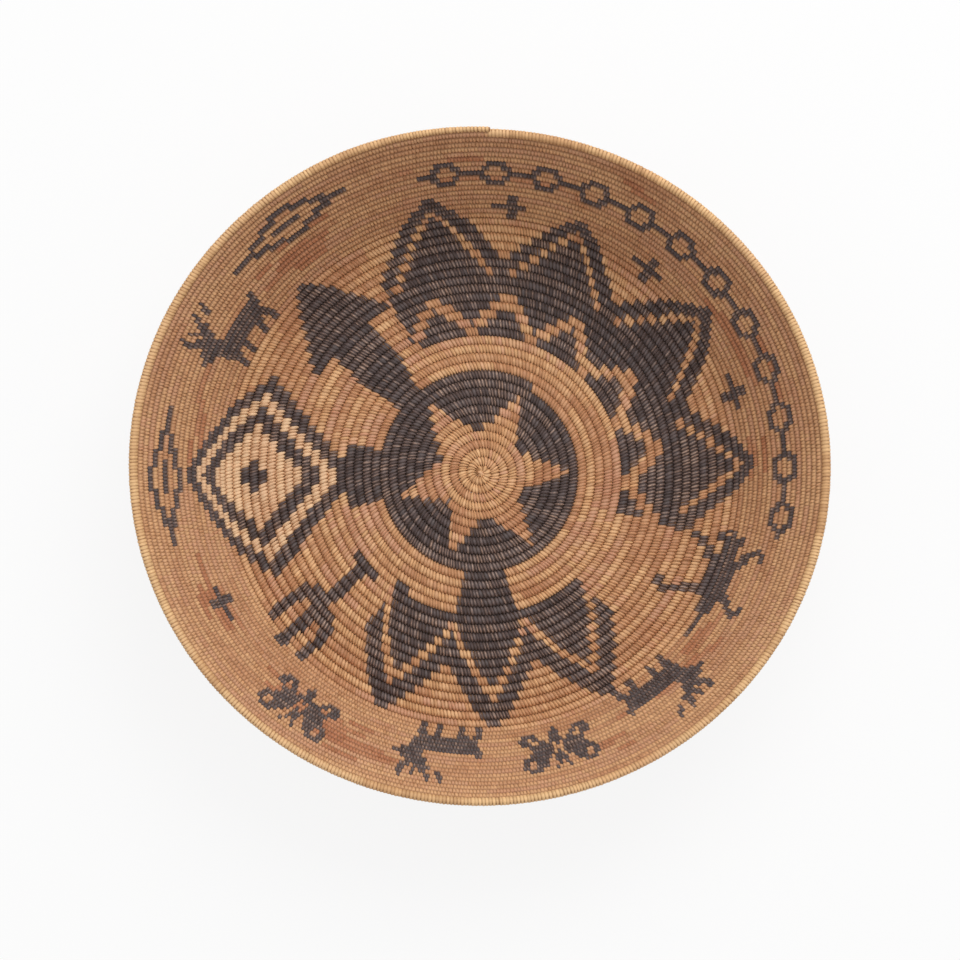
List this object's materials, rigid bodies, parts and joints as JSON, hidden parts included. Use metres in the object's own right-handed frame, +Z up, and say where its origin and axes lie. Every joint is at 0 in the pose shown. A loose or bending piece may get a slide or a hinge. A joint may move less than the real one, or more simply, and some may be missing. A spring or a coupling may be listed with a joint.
{
  "type": "coiled pictorial basket",
  "caption": "Wide coiled bowl basket with a flat floor, flaring sewn wall, bound rim and a stepped figure design, for holding dry goods or for display.",
  "frame": {"origin": "under the middle of the basket, on the plane that its floor rests on", "axes": "+Z up out of the bowl, +X along the slightly longer way across the rim, +Y towards the place where the rim coil ends"},
  "size_m": [0.4386, 0.4244, 0.105],
  "materials": {
    "natural_strands": "split plant stems, golden tan, satin",
    "pale_strands": "split plant stems, pale straw, satin",
    "reddish_strands": "split plant stems, red-brown base ends, satin",
    "dyed_strands": "split plant stems dyed brown-black, satin",
    "grass_bundle": "dry grass stalks, matt"
  },
  "bodies": {
    "root": {"start_knot": "natural_strands", "star_coil": "natural_strands", "disc_coil": "dyed_strands", "ring_coil": "natural_strands", "field_coil": "dyed_strands", "turn_coil": "dyed_strands", "lower_wall_coil": "reddish_strands", "middle_wall_coil": "natural_strands", "upper_wall_coil": "natural_strands", "rim_sewing": "pale_strands", "rim_bundle": "grass_bundle", "rim_end": "pale_strands"}
  },
  "joints": []
}
